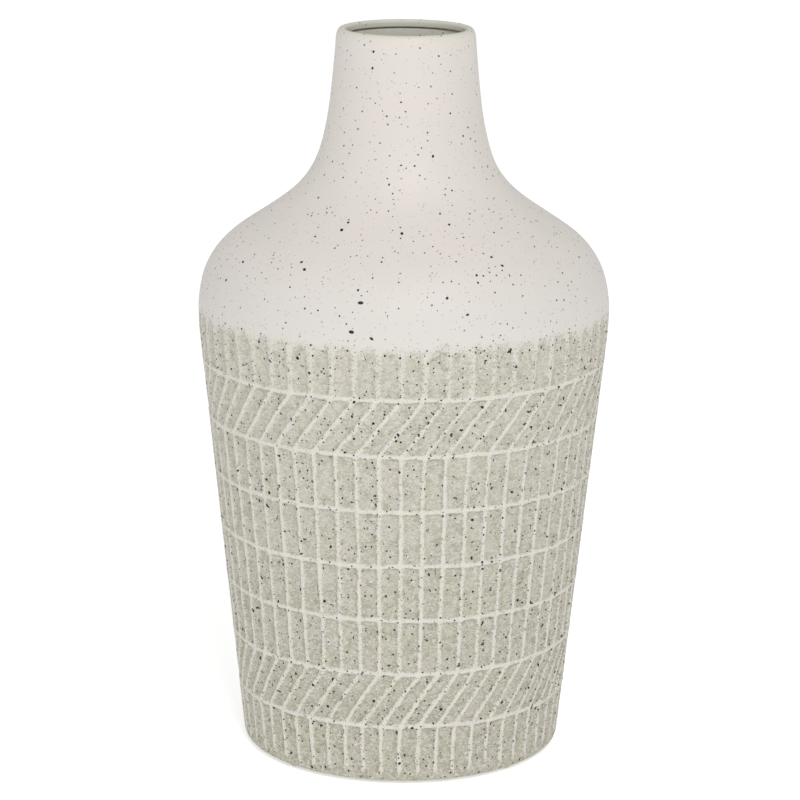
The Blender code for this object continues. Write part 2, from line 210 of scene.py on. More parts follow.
FELT_LIGHT = (0.300, 0.290, 0.275)
FLOOR_PALE = (0.900, 0.900, 0.900)
FLOOR_PALER = (0.920, 0.920, 0.920)

# How much grit, mottling, sand, and the painted shade and painted light beside each rib and band dim or
# brighten the carved clay.
GRIT_DIMS = (0.765, 0.770, 0.740)
MOTTLE_DIMS = (0.840, 0.840, 0.810)
SAND_BRIGHTENS = (1.08, 1.07, 1.06)
PAINTED_SHADE_STRENGTH = 0.18

# Patterns in the clay: scales are per metre, heights in metres.
GRIT_SCALE = 480.0
GRIT_FLATTENED = 1.4
SAND_SCALE = 1100.0
MOTTLE_SCALE = 190.0
PATCH_SCALE = 110.0
CLOUD_SCALE = 38.0
CRUMB_SCALE = 1000.0
PEEL_SCALE = 260.0
BARE_CLOUD_SCALE = 57.0
FIBRE_SCALE = 2500.0
FELT_MOTTLE_SCALE = FIBRE_SCALE / 6
GRIT_HEIGHT = 0.00042
SAND_HEIGHT = 0.00006
PEEL_HEIGHT = 0.00002
PIT_DEPTH = 0.00008
FIBRE_HEIGHT = 0.00010
CREAM_RAGGED = 1.6
CREAM_CRUMBLED = 2.0
GLAZE_EDGE_NOISE = 0.7
SPECK_EDGE = 0.00003
ROUGH_CLAY = 0.85
ROUGH_GLAZE = 0.50
GRIT_ROUGHENS = 0.1
CLAY_SPECULAR = 0.35
BARE_SPECULAR = 0.3
BARE_ROUGHNESS = (0.84, 0.96)

# The two ends of each rise from one look to the next, in the value of a mask or a noise.
CREAM_RISE = (0.20, 0.90)
PATCH_RISE = (0.35, 0.65)
MOTTLE_RISE = (0.55, 0.35)
GRIT_RISE = (0.38, 0.58)
SAND_RISE = (0.52, 0.68)
GLAZED_RISE = (0.0, 0.18)
HALO_RISE = (0.45, 0.10)
SPOT_RISE = (1.0, 0.75)
PEPPER_RISE = (1.0, 0.1)
BARE_CLOUD_RISE = (0.3, 0.7)
BARE_GRIT_RISE = (0.45, 0.75)

# How much of a look is laid over the one before it.
PANEL_TINT_SHARE = 0.6
PANEL_TOP_SHARE = 0.6
FAINT_SPECK_SHARE = 0.55
CREAM_SMOOTHS = 0.55
BARE_SAND_SHARE = 0.6
BARE_SPECK_SHARE = 0.85
FELT_MOTTLE_SHARE = 0.4

# Iron specks: see Shading.specks.
SMALL_SPECKS = {"spacing": 0.0034, "radius": 0.00060, "share": 0.64, "faintest": 0.80}
TINY_SPECKS = {"spacing": 0.0022, "radius": 0.00044, "share": 0.65, "offset": 0.31}
MEDIUM_SPECKS = {"spacing": 0.0080, "radius": 0.00090, "share": 0.28, "offset": 0.57, "stretch": 0.4}
SMALL_GRIT_SPECKS = {"spacing": 0.0032, "radius": 0.00060, "share": 0.46, "offset": 0.83, "stretch": 0.4}
LARGE_GRIT_SPECKS = {"spacing": 0.0058, "radius": 0.00086, "share": 0.48, "offset": 0.19, "stretch": 0.8}
BARE_SPECKS = {"spacing": 0.0036, "radius": 0.00045, "share": 0.5}
SMALLEST_SPECK = 0.6
SPECK_RAGGED = 0.5
SPECK_RAGGED_SCALE = 0.4
SPOT_RAGGED = 0.0003
SPOT_RAGGED_SCALE = 900.0

# The largest spots on the glaze: angle from the front in degrees, clay height, width, tallness, tilt.
LARGE_SPOTS = (
    (-12.0, 0.2750, 0.0037, 0.0020, 0.0),
    (-14.0, 0.2600, 0.0033, 0.0021, 0.1),
    (-8.5, 0.2570, 0.0026, 0.0014, 0.6),
    (-32.0, 0.2880, 0.0025, 0.0017, 0.3),
    (-34.5, 0.2910, 0.0021, 0.0015, -0.4),
    (-58.5, 0.2855, 0.0025, 0.0014, 0.2),
    (-25.5, 0.3095, 0.0018, 0.0016, 0.0),
    (32.5, 0.2905, 0.0020, 0.0015, 0.5),
    (17.5, 0.2690, 0.0021, 0.0014, -0.6),
    (118.0, 0.2790, 0.0032, 0.0018, 0.3),
    (-141.0, 0.2660, 0.0030, 0.0017, -0.2),
    (163.0, 0.3010, 0.0024, 0.0015, 0.4),
)

# Studio.
FLOOR_SIZE = 40.0
FLOOR_GLOW = 0.42
SURROUND_STRENGTH = 0.64
KEY_PLACE = (0.42, -2.2, 2.2)
KEY_SIZE = 0.8
KEY_POWER = 36.5
KEY_COLOUR = (1.0, 0.99, 0.97)
FILL_PLACE = (-2.4, -1.2, 1.2)
FILL_SIZE = 2.0
FILL_POWER = 6.0
FILL_COLOUR = (0.97, 0.98, 1.0)
CAMERA_DISTANCE = 1.7883
CAMERA_HEIGHT = 0.6436
CAMERA_PITCH = 0.2455
CAMERA_ROLL = 0.00779
CAMERA_PAN = -0.00098
CAMERA_SENSOR = 36.0
CAMERA_LENS = 146.92


def smooth(low, high, value):
    """0 below low, 1 above high, and a smooth rise between them."""
    share = np.clip((value - low) / (high - low), 0.0, 1.0)
    return share * share * (3 - 2 * share)


def cosine_bump(distance, reach):
    """1 at no distance, falling to 0 at the reach and beyond."""
    return 0.5 + 0.5 * np.cos(np.pi * np.clip(distance / reach, 0.0, 1.0))


class Waves:
    """A smooth random wobble over the turned surface, within about -1 to 1, the same on every run."""

    def __init__(self, seed, shortest, longest, radius=0.1, count=24):
        random = np.random.default_rng(SEED + seed)
        wavelengths = np.exp(random.uniform(np.log(shortest), np.log(longest), count))
        directions = random.uniform(0, 2 * np.pi, count)
        circumference = 2 * np.pi * radius
        self.around = np.rint(circumference / wavelengths * np.cos(directions))
        self.along = 2 * np.pi / wavelengths * np.sin(directions)
        self.phases = random.uniform(0, 2 * np.pi, count)
        self.strength = np.sqrt(2.0 / count) / 2

    def at(self, angle, length):
        total = 0.0
        for around, along, phase in zip(self.around, self.along, self.phases):
            total = total + np.cos(around * angle + along * length + phase)
        return total * self.strength


def bezier(start, start_handle, end_handle, end):
    """Points along a cubic Bezier curve, both ends included."""
    t = np.linspace(0, 1, CURVE_STEPS + 1)[:, None]
    corners = [np.array(corner) for corner in (start, start_handle, end_handle, end)]
    return (
        (1 - t) ** 3 * corners[0]
        + 3 * (1 - t) ** 2 * t * corners[1]
        + 3 * (1 - t) * t**2 * corners[2]
        + t**3 * corners[3]
    )


def arc(centre, width, height, from_angle, to_angle, steps=CURVE_STEPS):
    """Points along an elliptical arc, both ends included; angles are measured up from +X."""
    angles = np.linspace(from_angle, to_angle, steps + 1)
    return np.stack([centre[0] + width * np.cos(angles), centre[1] + height * np.sin(angles)], axis=1)


def leaning(point, angle_inwards, distance):
    """The point moved upwards by distance, in a direction leaning inwards by the angle."""
    return (point[0] - distance * math.sin(angle_inwards), point[1] + distance * math.cos(angle_inwards))


def outline_points():
    """The outer outline of the clay, from the foot's flat face up to the top of the lip."""
    lean = -math.atan(CONE_TAPER)
    cone_foot = (CONE_FOOT_RADIUS + CONE_TAPER * FOOT_EDGE_RADIUS, FOOT_EDGE_RADIUS)
    cone_top = (CONE_FOOT_RADIUS + CONE_TAPER * CONE_TOP_HEIGHT, CONE_TOP_HEIGHT)
    shoulder = (SHOULDER_RADIUS, SHOULDER_HEIGHT)
    rim = (RIM_RADIUS, CLAY_HEIGHT - LIP_ROUND_HEIGHT)
    edge_radius = FOOT_EDGE_RADIUS / (1 + math.sin(lean))
    edge_centre = (cone_foot[0] - edge_radius * math.cos(lean), edge_radius)
    foot_edge = arc(edge_centre, edge_radius, edge_radius, -math.pi / 2, lean)
    belly = bezier(
        cone_top,
        leaning(cone_top, lean, BELLY_REACH),
        leaning(shoulder, SHOULDER_SLOPE, -SHOULDER_REACH_DOWN),
        shoulder,
    )
    neck = bezier(
        shoulder,
        leaning(shoulder, SHOULDER_SLOPE, SHOULDER_REACH_UP),
        leaning(rim, RIM_SLOPE, -NECK_REACH),
        rim,
    )
    lip_centre = (RIM_RADIUS - LIP_ROUND_WIDTH, CLAY_HEIGHT - LIP_ROUND_HEIGHT)
    lip = arc(lip_centre, LIP_ROUND_WIDTH, LIP_ROUND_HEIGHT, 0, math.pi / 2)
    cone = np.linspace(foot_edge[-1], belly[0], CURVE_STEPS)[1:-1]
    return np.concatenate([foot_edge, cone, belly, neck[1:], lip[1:]])


class Outline:
    """The outer outline, read by the length along it and the depth behind it."""

    def __init__(self, points):
        self.radii, self.heights = points.T
        steps = np.hypot(np.diff(self.radii), np.diff(self.heights))
        self.lengths = np.concatenate([[0.0], np.cumsum(steps)])
        self.end = self.lengths[-1]
        across = np.gradient(self.radii, self.lengths)
        up = np.gradient(self.heights, self.lengths)
        size = np.hypot(across, up)
        self.across, self.up = across / size, up / size

    def length_at(self, height):
        return np.interp(height, self.heights, self.lengths)

    def height_at(self, length):
        return np.interp(length, self.lengths, self.heights)

    def place(self, length, depth=0.0):
        """Radius and clay height at this length, moved into the clay by the depth."""
        measures = (self.radii, self.heights, self.across, self.up)
        radius, height, across, up = (np.interp(length, self.lengths, measure) for measure in measures)
        return radius - depth * up, height + depth * across


OUTLINE = Outline(outline_points())

FOOT_JOINT = OUTLINE.length_at(FOOT_JOINT_HEIGHT)
WALL_JOINT = OUTLINE.length_at(WALL_JOINT_HEIGHT)
GLAZE_JOINT = OUTLINE.length_at(GLAZE_JOINT_HEIGHT)
SHOULDER_JOINT = OUTLINE.length_at(SHOULDER_HEIGHT)
RIM_JOINT = OUTLINE.length_at(RIM_JOINT_HEIGHT)
BANDS = OUTLINE.length_at(np.linspace(LOWEST_BAND_HEIGHT, HIGHEST_BAND_HEIGHT, BAND_COUNT))
GLAZE_EDGE = OUTLINE.length_at(GLAZE_EDGE_HEIGHT)
PATTERN_TOP = GLAZE_EDGE + GLAZE_EDGE_MARGIN
CELL_PLACES = (np.arange(CELLS)[:, None] + np.array(COLUMN_STEPS)).ravel()


def ring_lengths():
    """Where the rings of the outer skin lie: exact at each joint, and closer over each band and edge."""
    fixed = {0.0, FOOT_JOINT, WALL_JOINT, GLAZE_JOINT, SHOULDER_JOINT, RIM_JOINT, OUTLINE.end}
    for band in BANDS:
        for step in BAND_STEPS:
            fixed.update((band - step, band + step))
    fixed = sorted(fixed)
    found = [fixed[0]]
    for before, after in zip(fixed, fixed[1:]):
        if after > RIM_JOINT or after <= FOOT_JOINT:
            step = EDGE_STEP
        elif after > PATTERN_TOP:
            step = PLAIN_STEP
        else:
            step = PATTERN_STEP
        count = max(1, math.ceil((after - before) / step))
        found.extend(np.linspace(before, after, count + 1)[1:])
    return np.array(found)


def lean_share(lengths):
    """How many cells the ribs have leant to the right by each length."""
    total = 0.0
    for row in LEANING_ROWS:
        low, high = BANDS[row - 1], BANDS[row]
        total = total + LEAN_CELLS * np.clip((lengths - low) / (high - low), 0.0, 1.0)
    return total


def row_of(lengths):
    """The row of ribs at each length: row 0 is below the first band, and each band ends a row."""
    return np.searchsorted(BANDS, lengths)


def jitter(cells, lengths):
    """How far each rib strays from its even place, in cells, straight from one band to the next."""
    random = np.random.default_rng(SEED)
    levels = np.array([0.0, *BANDS, GLAZE_EDGE])
    places = random.uniform(-RIB_JITTER_CELLS, RIB_JITTER_CELLS, (len(levels), CELLS))
    rib = np.floor(cells).astype(int)
    share = cells - rib
    by_level = places[:, rib % CELLS] * (1 - share) + places[:, (rib + 1) % CELLS] * share
    level = np.clip(np.searchsorted(levels, lengths) - 1, 0, len(levels) - 2)
    climb = np.clip((lengths - levels[level]) / (levels[level + 1] - levels[level]), 0.0, 1.0)[:, None]
    return by_level[level] * (1 - climb) + by_level[level + 1] * climb


def even_angles(lengths):
    """The angle of each column at each length, leaning with the ribs but without their wander."""
    cells = CELL_PLACES[None, :] + lean_share(np.atleast_1d(lengths))[:, None]
    return FIRST_RIB_ANGLE + cells * 2 * np.pi / CELLS


def around(radii, heights, angles):
    """Points at these radii, clay heights and angles; angle 0 is the front, and angles grow to the right."""
    x = radii * np.sin(angles)
    y = -radii * np.cos(angles)
    return np.stack(np.broadcast_arrays(x, y, heights + CLAY_FOOT), axis=-1)


class Skin:
    """The outer skin of the clay: points, normals and masks, by ring and by column."""

    def __init__(self):
        self.lengths = ring_lengths()
        lengths = self.lengths[:, None]
        radii, heights = OUTLINE.place(lengths)
        wandering = smooth(WANDER_FOOT_LOW, WANDER_FOOT_HIGH, heights)
        wandering = wandering * (1 - smooth(GLAZE_EDGE, GLAZE_EDGE + WANDER_FADE, lengths))
        cells = CELL_PLACES + jitter(CELL_PLACES, self.lengths) * wandering
        angles = FIRST_RIB_ANGLE + (cells + lean_share(lengths)) * 2 * np.pi / CELLS
        angles = angles - RIB_ANGLE_DRIFT * np.sin(angles)
        angles = angles + RIB_WANDER * wandering / radii * Waves(1, 0.008, 0.030).at(angles, lengths)
        along = lengths + BAND_WANDER * wandering * Waves(2, 0.015, 0.070).at(angles, lengths)

        self.measure_relief(radii, heights, angles)
        radii, heights = OUTLINE.place(along, self.depth)
        self.points = around(radii, heights, angles)
        self.measure_normals()

    def measure_relief(self, radii, heights, angles):
        """How deep each point is carved, how creamy and how glazed it is, its tint, and its painted shade or
        painted light.
        """
        random = np.random.default_rng(SEED + 3)
        lengths = self.lengths[:, None]
        row = row_of(self.lengths)
        rib = np.rint(CELL_PLACES).astype(int) % CELLS
        panel = np.floor(CELL_PLACES).astype(int) % CELLS
        shape = (BAND_COUNT + 1, CELLS)
        rib_width = random.uniform(*RIB_WIDTHS, shape)[row][:, rib]
        rib_rise = random.uniform(*RIB_RISES, shape)[row][:, rib]
        panel_depth = random.uniform(*PANEL_DEPTHS, shape)[row][:, panel]
        panel_tint = random.uniform(0.0, 1.0, shape)[row][:, panel]
        break_place = random.uniform(*BREAK_PLACES, shape)[row][:, rib]

        row_low = np.concatenate([[0.0], BANDS])[row]
        row_high = np.concatenate([BANDS, [GLAZE_EDGE]])[row]
        climb = ((self.lengths - row_low) / (row_high - row_low))[:, None]
        rib_rise = rib_rise * (1 - BREAK_DEPTH * cosine_bump(np.abs(climb - break_place), BREAK_REACH))
        rib_rise = rib_rise * smooth(PATTERN_FOOT_LOW, PATTERN_FOOT_HIGH, heights)

        cell_width = 2 * np.pi * radii / CELLS
        leans = np.isin(row, LEANING_ROWS)[:, None]
        lean = np.arctan2(LEAN_CELLS * cell_width, (row_high - row_low)[:, None]) * leans
        beside_rib = CELL_PLACES - np.rint(CELL_PLACES)
        from_rib = np.abs(beside_rib) * cell_width * np.cos(lean)
        nearest = np.abs(lengths - BANDS[None, :]).argmin(axis=1)
        above_band = lengths - BANDS[nearest][:, None]
        from_band = np.abs(above_band)
        # Painted shade left of each rib and below each band, and weaker painted light on their other sides.
        rib_painted_light_and_shade = rib_rise * cosine_bump(from_rib, PAINTED_SHADE_REACH) * np.where(beside_rib > 0, -PAINTED_LIGHT_SHARE, 1.0)
        band_painted_light_and_shade = cosine_bump(from_band, PAINTED_SHADE_REACH) * np.where(above_band > 0, -PAINTED_LIGHT_SHARE, 1.0)

        edge = GLAZE_EDGE + GLAZE_EDGE_RAGGED * Waves(4, 0.006, 0.040).at(angles, 0.0)
        into_arch = np.clip(lengths - (edge - ARCH_RADIUS), 0.0, ARCH_RADIUS)
        arch = ARCH_RADIUS - np.sqrt(ARCH_RADIUS**2 - into_arch**2)
        flare = TOP_ROW_FLARE * smooth(BANDS[-1], edge, lengths)

        from_rib = from_rib + RIB_UNEVEN * Waves(7, 0.004, 0.012).at(angles, lengths)
        from_band = from_band + RIB_UNEVEN * Waves(8, 0.004, 0.016).at(angles, lengths)
        top_row = (row == BAND_COUNT)[:, None]
        # A softer, wider right flank: real relief, and its wider cream partly painted light.
        rib_side = np.where(beside_rib > 0, RIB_RIGHT_EDGE, RIB_LEFT_EDGE)
        rib_edge = RIB_EDGE * rib_width * rib_side + TOP_ROW_SOFTER * top_row
        half_flat = RIB_HALF_FLAT + flare + arch
        rib_wall = cosine_bump(np.maximum(from_rib - half_flat, 0.0), rib_edge)
        band_wall = cosine_bump(np.maximum(from_band - BAND_HALF_FLAT, 0.0), RIB_EDGE)
        glaze_wall = smooth(edge - GLAZE_RAMP_BELOW, edge + GLAZE_RAMP_ABOVE, lengths)
        carved = (1 - rib_rise * rib_wall) * (1 - band_wall) * (1 - glaze_wall)

        rib_cream = rib_rise * rib_wall * (1 - TOP_ROW_FAINTER * top_row)
        glaze_cream = GLAZE_FADE_CREAM * smooth(edge - GLAZE_FADE, edge + GLAZE_OVERLAP, lengths)
        self.cream = 1 - (1 - rib_cream) * (1 - band_wall) * (1 - glaze_cream)
        self.glaze = np.clip((lengths - edge + GLAZE_OVERLAP) / GLAZE_HALO_WIDTH, 0.0, 1.0)
        # Painted shade (above 0) or painted light (below 0) from the nearer rib or band.
        self.painted_light_and_shade = np.where(np.abs(band_painted_light_and_shade) > np.abs(rib_painted_light_and_shade), band_painted_light_and_shade, rib_painted_light_and_shade)
        thin = smooth(CLAY_HEIGHT - THIN_GLAZE_HEIGHT, CLAY_HEIGHT, heights)
        self.tint = panel_tint * (1 - smooth(GLAZE_EDGE, PATTERN_TOP, lengths)) + thin
        uneven = CARVED_UNEVEN * Waves(5, 0.004, 0.014).at(angles, lengths) * carved
        swell = GLAZE_UNEVEN * Waves(6, 0.025, 0.090).at(angles, lengths) * self.glaze
        fade = smooth(0.0, FOOT_FADE_HEIGHT, heights) * (1 - smooth(RIM_JOINT, OUTLINE.end, lengths))
        scooped = 1 + PANEL_SCOOP * (np.sin(np.pi * np.abs(beside_rib)) - 0.5)
        self.depth = (RELIEF_DEPTH * panel_depth * carved * scooped + uneven + swell) * fade

    def measure_normals(self):
        """A smooth normal at every point, from its neighbours on the whole skin."""
        right = np.roll(self.points, -1, axis=1) - np.roll(self.points, 1, axis=1)
        up = np.empty_like(self.points)
        up[1:-1] = self.points[2:] - self.points[:-2]
        up[0] = self.points[1] - self.points[0]
        up[-1] = self.points[-1] - self.points[-2]
        normals = np.cross(right, up)
        self.normals = normals / np.linalg.norm(normals, axis=2, keepdims=True)

    def rings_between(self, low, high):
        """The slice of rings from one joint to the next, both included."""
        found = np.flatnonzero((self.lengths >= low - TOLERANCE) & (self.lengths <= high + TOLERANCE))
        return slice(found[0], found[-1] + 1)


SKIN = Skin()


def wall_thickness(length):
    """The wall's thickness, thinning from the foot to the belly and on to the neck."""
    height = OUTLINE.height_at(length)
    low = FOOT_WALL + (BELLY_WALL - FOOT_WALL) * height / CONE_TOP_HEIGHT
    share = np.clip((height - CONE_TOP_HEIGHT) / (RIM_JOINT_HEIGHT - CONE_TOP_HEIGHT), 0.0, 1.0)
    return np.where(height < CONE_TOP_HEIGHT, low, BELLY_WALL + (NECK_WALL - BELLY_WALL) * share)


def inner(length):
    """Radius and clay height of the inner face at a length of the outline."""
    return np.array(OUTLINE.place(length, wall_thickness(length)))


TONGUE_INSIDE = inner(FOOT_JOINT)[0]
TONGUE_OUTSIDE = TONGUE_INSIDE + TONGUE_WIDTH


def middle(length, side):
    """A lap's face: side is +1 on the piece below the joint and -1 on the one above it."""
    return np.array(OUTLINE.place(length, wall_thickness(length) / 2 + side * CONTACT_GAP / 2))


def turned_rings(profile, lengths):
    """Rings for a profile of (radius, clay height) points, with the skin's columns at these lengths."""
    profile = np.asarray(profile, float)
    angles = even_angles(np.asarray(lengths, float))
    return around(profile[:, :1], profile[:, 1:2], angles)


def inner_rings(high, low):
    """The inner face, from high down to low, with the soft rings that a thrower's fingers leave in it."""
    count = max(2, math.ceil((high - low) / INNER_STEP))
    lengths = np.linspace(high, low, count + 1)[:, None]
    angles = even_angles(lengths[:, 0])
    turn = angles / (2 * np.pi)
    groove = 0.5 + 0.5 * np.cos(2 * np.pi * (lengths / THROWING_PITCH - turn))
    ends = smooth(0.0, THROWING_PITCH, high - lengths) * smooth(0.0, THROWING_PITCH, lengths - low)
    depth = wall_thickness(lengths) - THROWING_DEPTH * groove * ends
    radii, heights = OUTLINE.place(lengths, depth)
    return around(radii, heights, angles)


def grid_faces(rings, columns, loop):
    """Faces between neighbouring rings, each a quad; the last ring joins the first if it is a loop."""
    column = np.arange(columns)
    beside = (column + 1) % columns
    faces = []
    for ring in range(rings if loop else rings - 1):
        low, high = ring * columns, (ring + 1) % rings * columns
        faces.append(np.stack([low + column, low + beside, high + beside, high + column], axis=1))
    return np.concatenate(faces)


def finished(name, points, faces, material):
    """A smooth-shaded object from points and faces, sharp only at its real edges."""
    mesh = bpy.data.meshes.new(name)
    mesh.from_pydata(points.reshape(-1, 3), [], faces)
    mesh.validate()
    mesh.shade_smooth()
    mesh.set_sharp_from_angle(angle=SHARP_ANGLE)
    mesh.materials.append(material)
    obj = bpy.data.objects.new(name, mesh)
    bpy.context.scene.collection.objects.link(obj)
    return obj


def settle(obj, node):
    """The piece stands for its CAD node and moves with the vase."""
    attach(obj, "root")
    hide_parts(node)


def skin_piece(name, low, high, back, material, inside_glaze=0.0):
    """A clay piece: the skin from low to high, closed by back rings that run from its top to its foot."""
    part = SKIN.rings_between(low, high)
    front = SKIN.points[part]
    rings = np.concatenate([front, back])
    faces = grid_faces(len(rings), rings.shape[1], loop=True)
    obj = finished(name, rings, faces, material)

    behind = np.full(back.shape[:2], inside_glaze)
    for mask_name in MASKS:
        values = np.concatenate([getattr(SKIN, mask_name)[part], behind])
        mask = obj.data.attributes.new(mask_name, "FLOAT", "POINT")
        mask.data.foreach_set("value", values.astype(np.float32).ravel())
    match_seams(obj.data, SKIN.normals[part], len(front))
    return obj


def match_seams(mesh, normals, ring_count):
    """Give the skin's first and last rings the whole skin's normals, so that no seam shows."""
    columns = normals.shape[1]
    corners = np.zeros((len(mesh.loops), 3))
    column = np.arange(columns)
    beside = (column + 1) % columns
    first = column * 4
    corners[first] = normals[0, column]
    corners[first + 1] = normals[0, beside]
    last = ((ring_count - 2) * columns + column) * 4
    corners[last + 2] = normals[-1, beside]
    corners[last + 3] = normals[-1, column]
    mesh.normals_split_custom_set(corners)


def lap_above(joint):
    """The top of a piece, from its outer face inwards: its inner half stands up as the tongue."""
    profile = [middle(joint, 1), middle(joint + LAP_LENGTH, 1)]
    return turned_rings(profile, [joint, joint + LAP_LENGTH])


def lap_below(joint):
    """The bottom of a piece, from its inner face outwards: the outer half covers the tongue below it."""
    low = joint + CONTACT_GAP
    high = low + LAP_LENGTH
    return turned_rings([middle(high, -1), middle(low, -1)], [high, low])


def foot_ring():
    """The turned foot: rounded outer edge, trimmed resting face, floor ledge, and a tongue for the wall."""
    profile = [
        (TONGUE_OUTSIDE, FOOT_JOINT_HEIGHT),
        (TONGUE_OUTSIDE, TONGUE_HEIGHT),
        (TONGUE_INSIDE, TONGUE_HEIGHT),
        (TONGUE_INSIDE, FLOOR_LEDGE_HEIGHT),
        (FOOT_RING_INNER_RADIUS, FLOOR_LEDGE_HEIGHT),
    ]
    corner = (FOOT_RING_INNER_RADIUS + FOOT_RING_ROUND, FOOT_RING_ROUND)
    profile += list(arc(corner, FOOT_RING_ROUND, FOOT_RING_ROUND, math.pi, 1.5 * math.pi, 5))
    resting = np.linspace(profile[-1][0], OUTLINE.radii[0], TRIMMING_RINGS)[1:-1]
    for index, radius in enumerate(resting):
        profile.append((radius, TRIMMING_DEPTH * (index % 3 == 1)))
    back = turned_rings(profile, 0.0)
    return skin_piece("Foot_Ring", 0.0, FOOT_JOINT, back, TEXTURED_CLAY)


def lower_wall():
    """The lower carved wall, from the foot ring's tongue to the joint half way up."""
    above_tongue = OUTLINE.length_at(TONGUE_HEIGHT + CONTACT_GAP)
    seat = [
        (TONGUE_OUTSIDE + CONTACT_GAP, TONGUE_HEIGHT + CONTACT_GAP),
        (TONGUE_OUTSIDE + CONTACT_GAP, FOOT_JOINT_HEIGHT + CONTACT_GAP),
    ]
    inside = inner_rings(WALL_JOINT + LAP_LENGTH, above_tongue)
    back = np.concatenate([lap_above(WALL_JOINT), inside, turned_rings(seat, 0.0)])
    return skin_piece("Lower_Wall", FOOT_JOINT, WALL_JOINT, back, TEXTURED_CLAY)


def section(name, low, high, material, inside_glaze=0.0):
    """A piece between two lap joints."""
    inside = inner_rings(high + LAP_LENGTH, low + LAP_LENGTH + CONTACT_GAP)
    back = np.concatenate([lap_above(high), inside, lap_below(low)])
    return skin_piece(name, low, high, back, material, inside_glaze)


def neck():
    """The flared neck, with a tongue at its top that stands up inside the rim bead."""
    tongue_top = CLAY_HEIGHT - BEAD_DROP - CONTACT_GAP
    tongue_inside = inner(RIM_JOINT)[0]
    tongue_outside = middle(RIM_JOINT, 1)[0]
    round_centre = (tongue_inside + TONGUE_ROUND, tongue_top - TONGUE_ROUND)
    top = [(tongue_outside, RIM_JOINT_HEIGHT), (tongue_outside, tongue_top)]
    top += list(arc(round_centre, TONGUE_ROUND, TONGUE_ROUND, math.pi / 2, math.pi, 4))
    inside = inner_rings(RIM_JOINT, SHOULDER_JOINT + LAP_LENGTH + CONTACT_GAP)
    back = np.concatenate([turned_rings(top, RIM_JOINT), inside, lap_below(SHOULDER_JOINT)])
    return skin_piece("Neck", SHOULDER_JOINT, RIM_JOINT, back, GLAZED_CLAY, inside_glaze=1.0)


def rim_bead():
    """The rolled lip: rounded outside and in, with a skirt over the neck's tongue and a bead inside it."""
    skirt_inside = middle(RIM_JOINT, 1)[0] + CONTACT_GAP
    under = CLAY_HEIGHT - BEAD_DROP
    top_centre = (BEAD_INNER_RADIUS + BEAD_TOP_ROUND, CLAY_HEIGHT - BEAD_TOP_ROUND)
    under_centre = (BEAD_INNER_RADIUS + BEAD_UNDER_ROUND, under + BEAD_UNDER_ROUND)
    profile = list(arc(top_centre, BEAD_TOP_ROUND, BEAD_TOP_ROUND, math.pi / 2, math.pi, 8))
    profile += list(arc(under_centre, BEAD_UNDER_ROUND, BEAD_UNDER_ROUND, math.pi, 1.5 * math.pi, 5))
    profile += [(skirt_inside, under), (skirt_inside, RIM_JOINT_HEIGHT + CONTACT_GAP)]
    back = turned_rings(profile, RIM_JOINT)
    return skin_piece("Rim_Bead", RIM_JOINT, OUTLINE.end, back, GLAZED_CLAY, inside_glaze=1.0)


def capped_turning(name, profile, columns, material, stray=None):
    """A solid turned about Z from a profile that starts and ends beside the axis, with two small caps."""
    profile = np.asarray(profile, float)
    angles = np.linspace(0, 2 * np.pi, columns, endpoint=False)[None, :]
    radii, heights = profile[:, :1] + 0 * angles, profile[:, 1:2] + 0 * angles
    if stray is not None:
        radii, heights = stray(radii, heights, angles)
    rings = around(radii, heights, angles)
    faces = grid_faces(len(rings), columns, loop=False).tolist()
    bottom_cap = np.arange(columns)[::-1].tolist()
    top_cap = (np.arange(columns) + (len(rings) - 1) * columns).tolist()
    return finished(name, rings, faces + [bottom_cap, top_cap], material)


def floor_disc():
    """The floor slab: a plug inside the foot ring under a flange, with the rings of trimming and throwing."""
    flange = TONGUE_INSIDE - CONTACT_GAP
    plug = FOOT_RING_INNER_RADIUS - CONTACT_GAP
    ledge = FLOOR_LEDGE_HEIGHT + CONTACT_GAP
    radii = np.linspace(AXIS_CAP_RADIUS, plug - FLOOR_ROUND, FLOOR_RINGS)
    hollow = FLOOR_HOLLOW * (1 - (radii / plug) ** 2)
    trimmed = hollow + TRIMMING_DEPTH * (0.5 + 0.5 * np.cos(2 * np.pi * radii / TRIMMING_PITCH))
    underside = np.stack([radii, FLOOR_UNDERSIDE_HEIGHT + trimmed], axis=1)
    plug_centre = (plug - FLOOR_ROUND, FLOOR_UNDERSIDE_HEIGHT + FLOOR_ROUND)
    plug_edge = arc(plug_centre, FLOOR_ROUND, FLOOR_ROUND, -math.pi / 2, 0, 4)
    flange_centre = (flange - FLOOR_ROUND, FLOOR_TOP_HEIGHT - FLOOR_ROUND)
    flange_edge = arc(flange_centre, FLOOR_ROUND, FLOOR_ROUND, 0, math.pi / 2, 4)
    radii = np.linspace(flange - 2 * FLOOR_ROUND, AXIS_CAP_RADIUS, FLOOR_RINGS)
    thrown = THROWING_DEPTH * (0.5 + 0.5 * np.cos(2 * np.pi * radii / THROWING_PITCH))
    upper = np.stack([radii, FLOOR_TOP_HEIGHT - thrown], axis=1)
    profile = np.concatenate([underside, plug_edge[1:], [(plug, ledge), (flange, ledge)], flange_edge, upper])
    return capped_turning("Floor", profile, PLAIN_COLUMNS, BARE_CLAY)


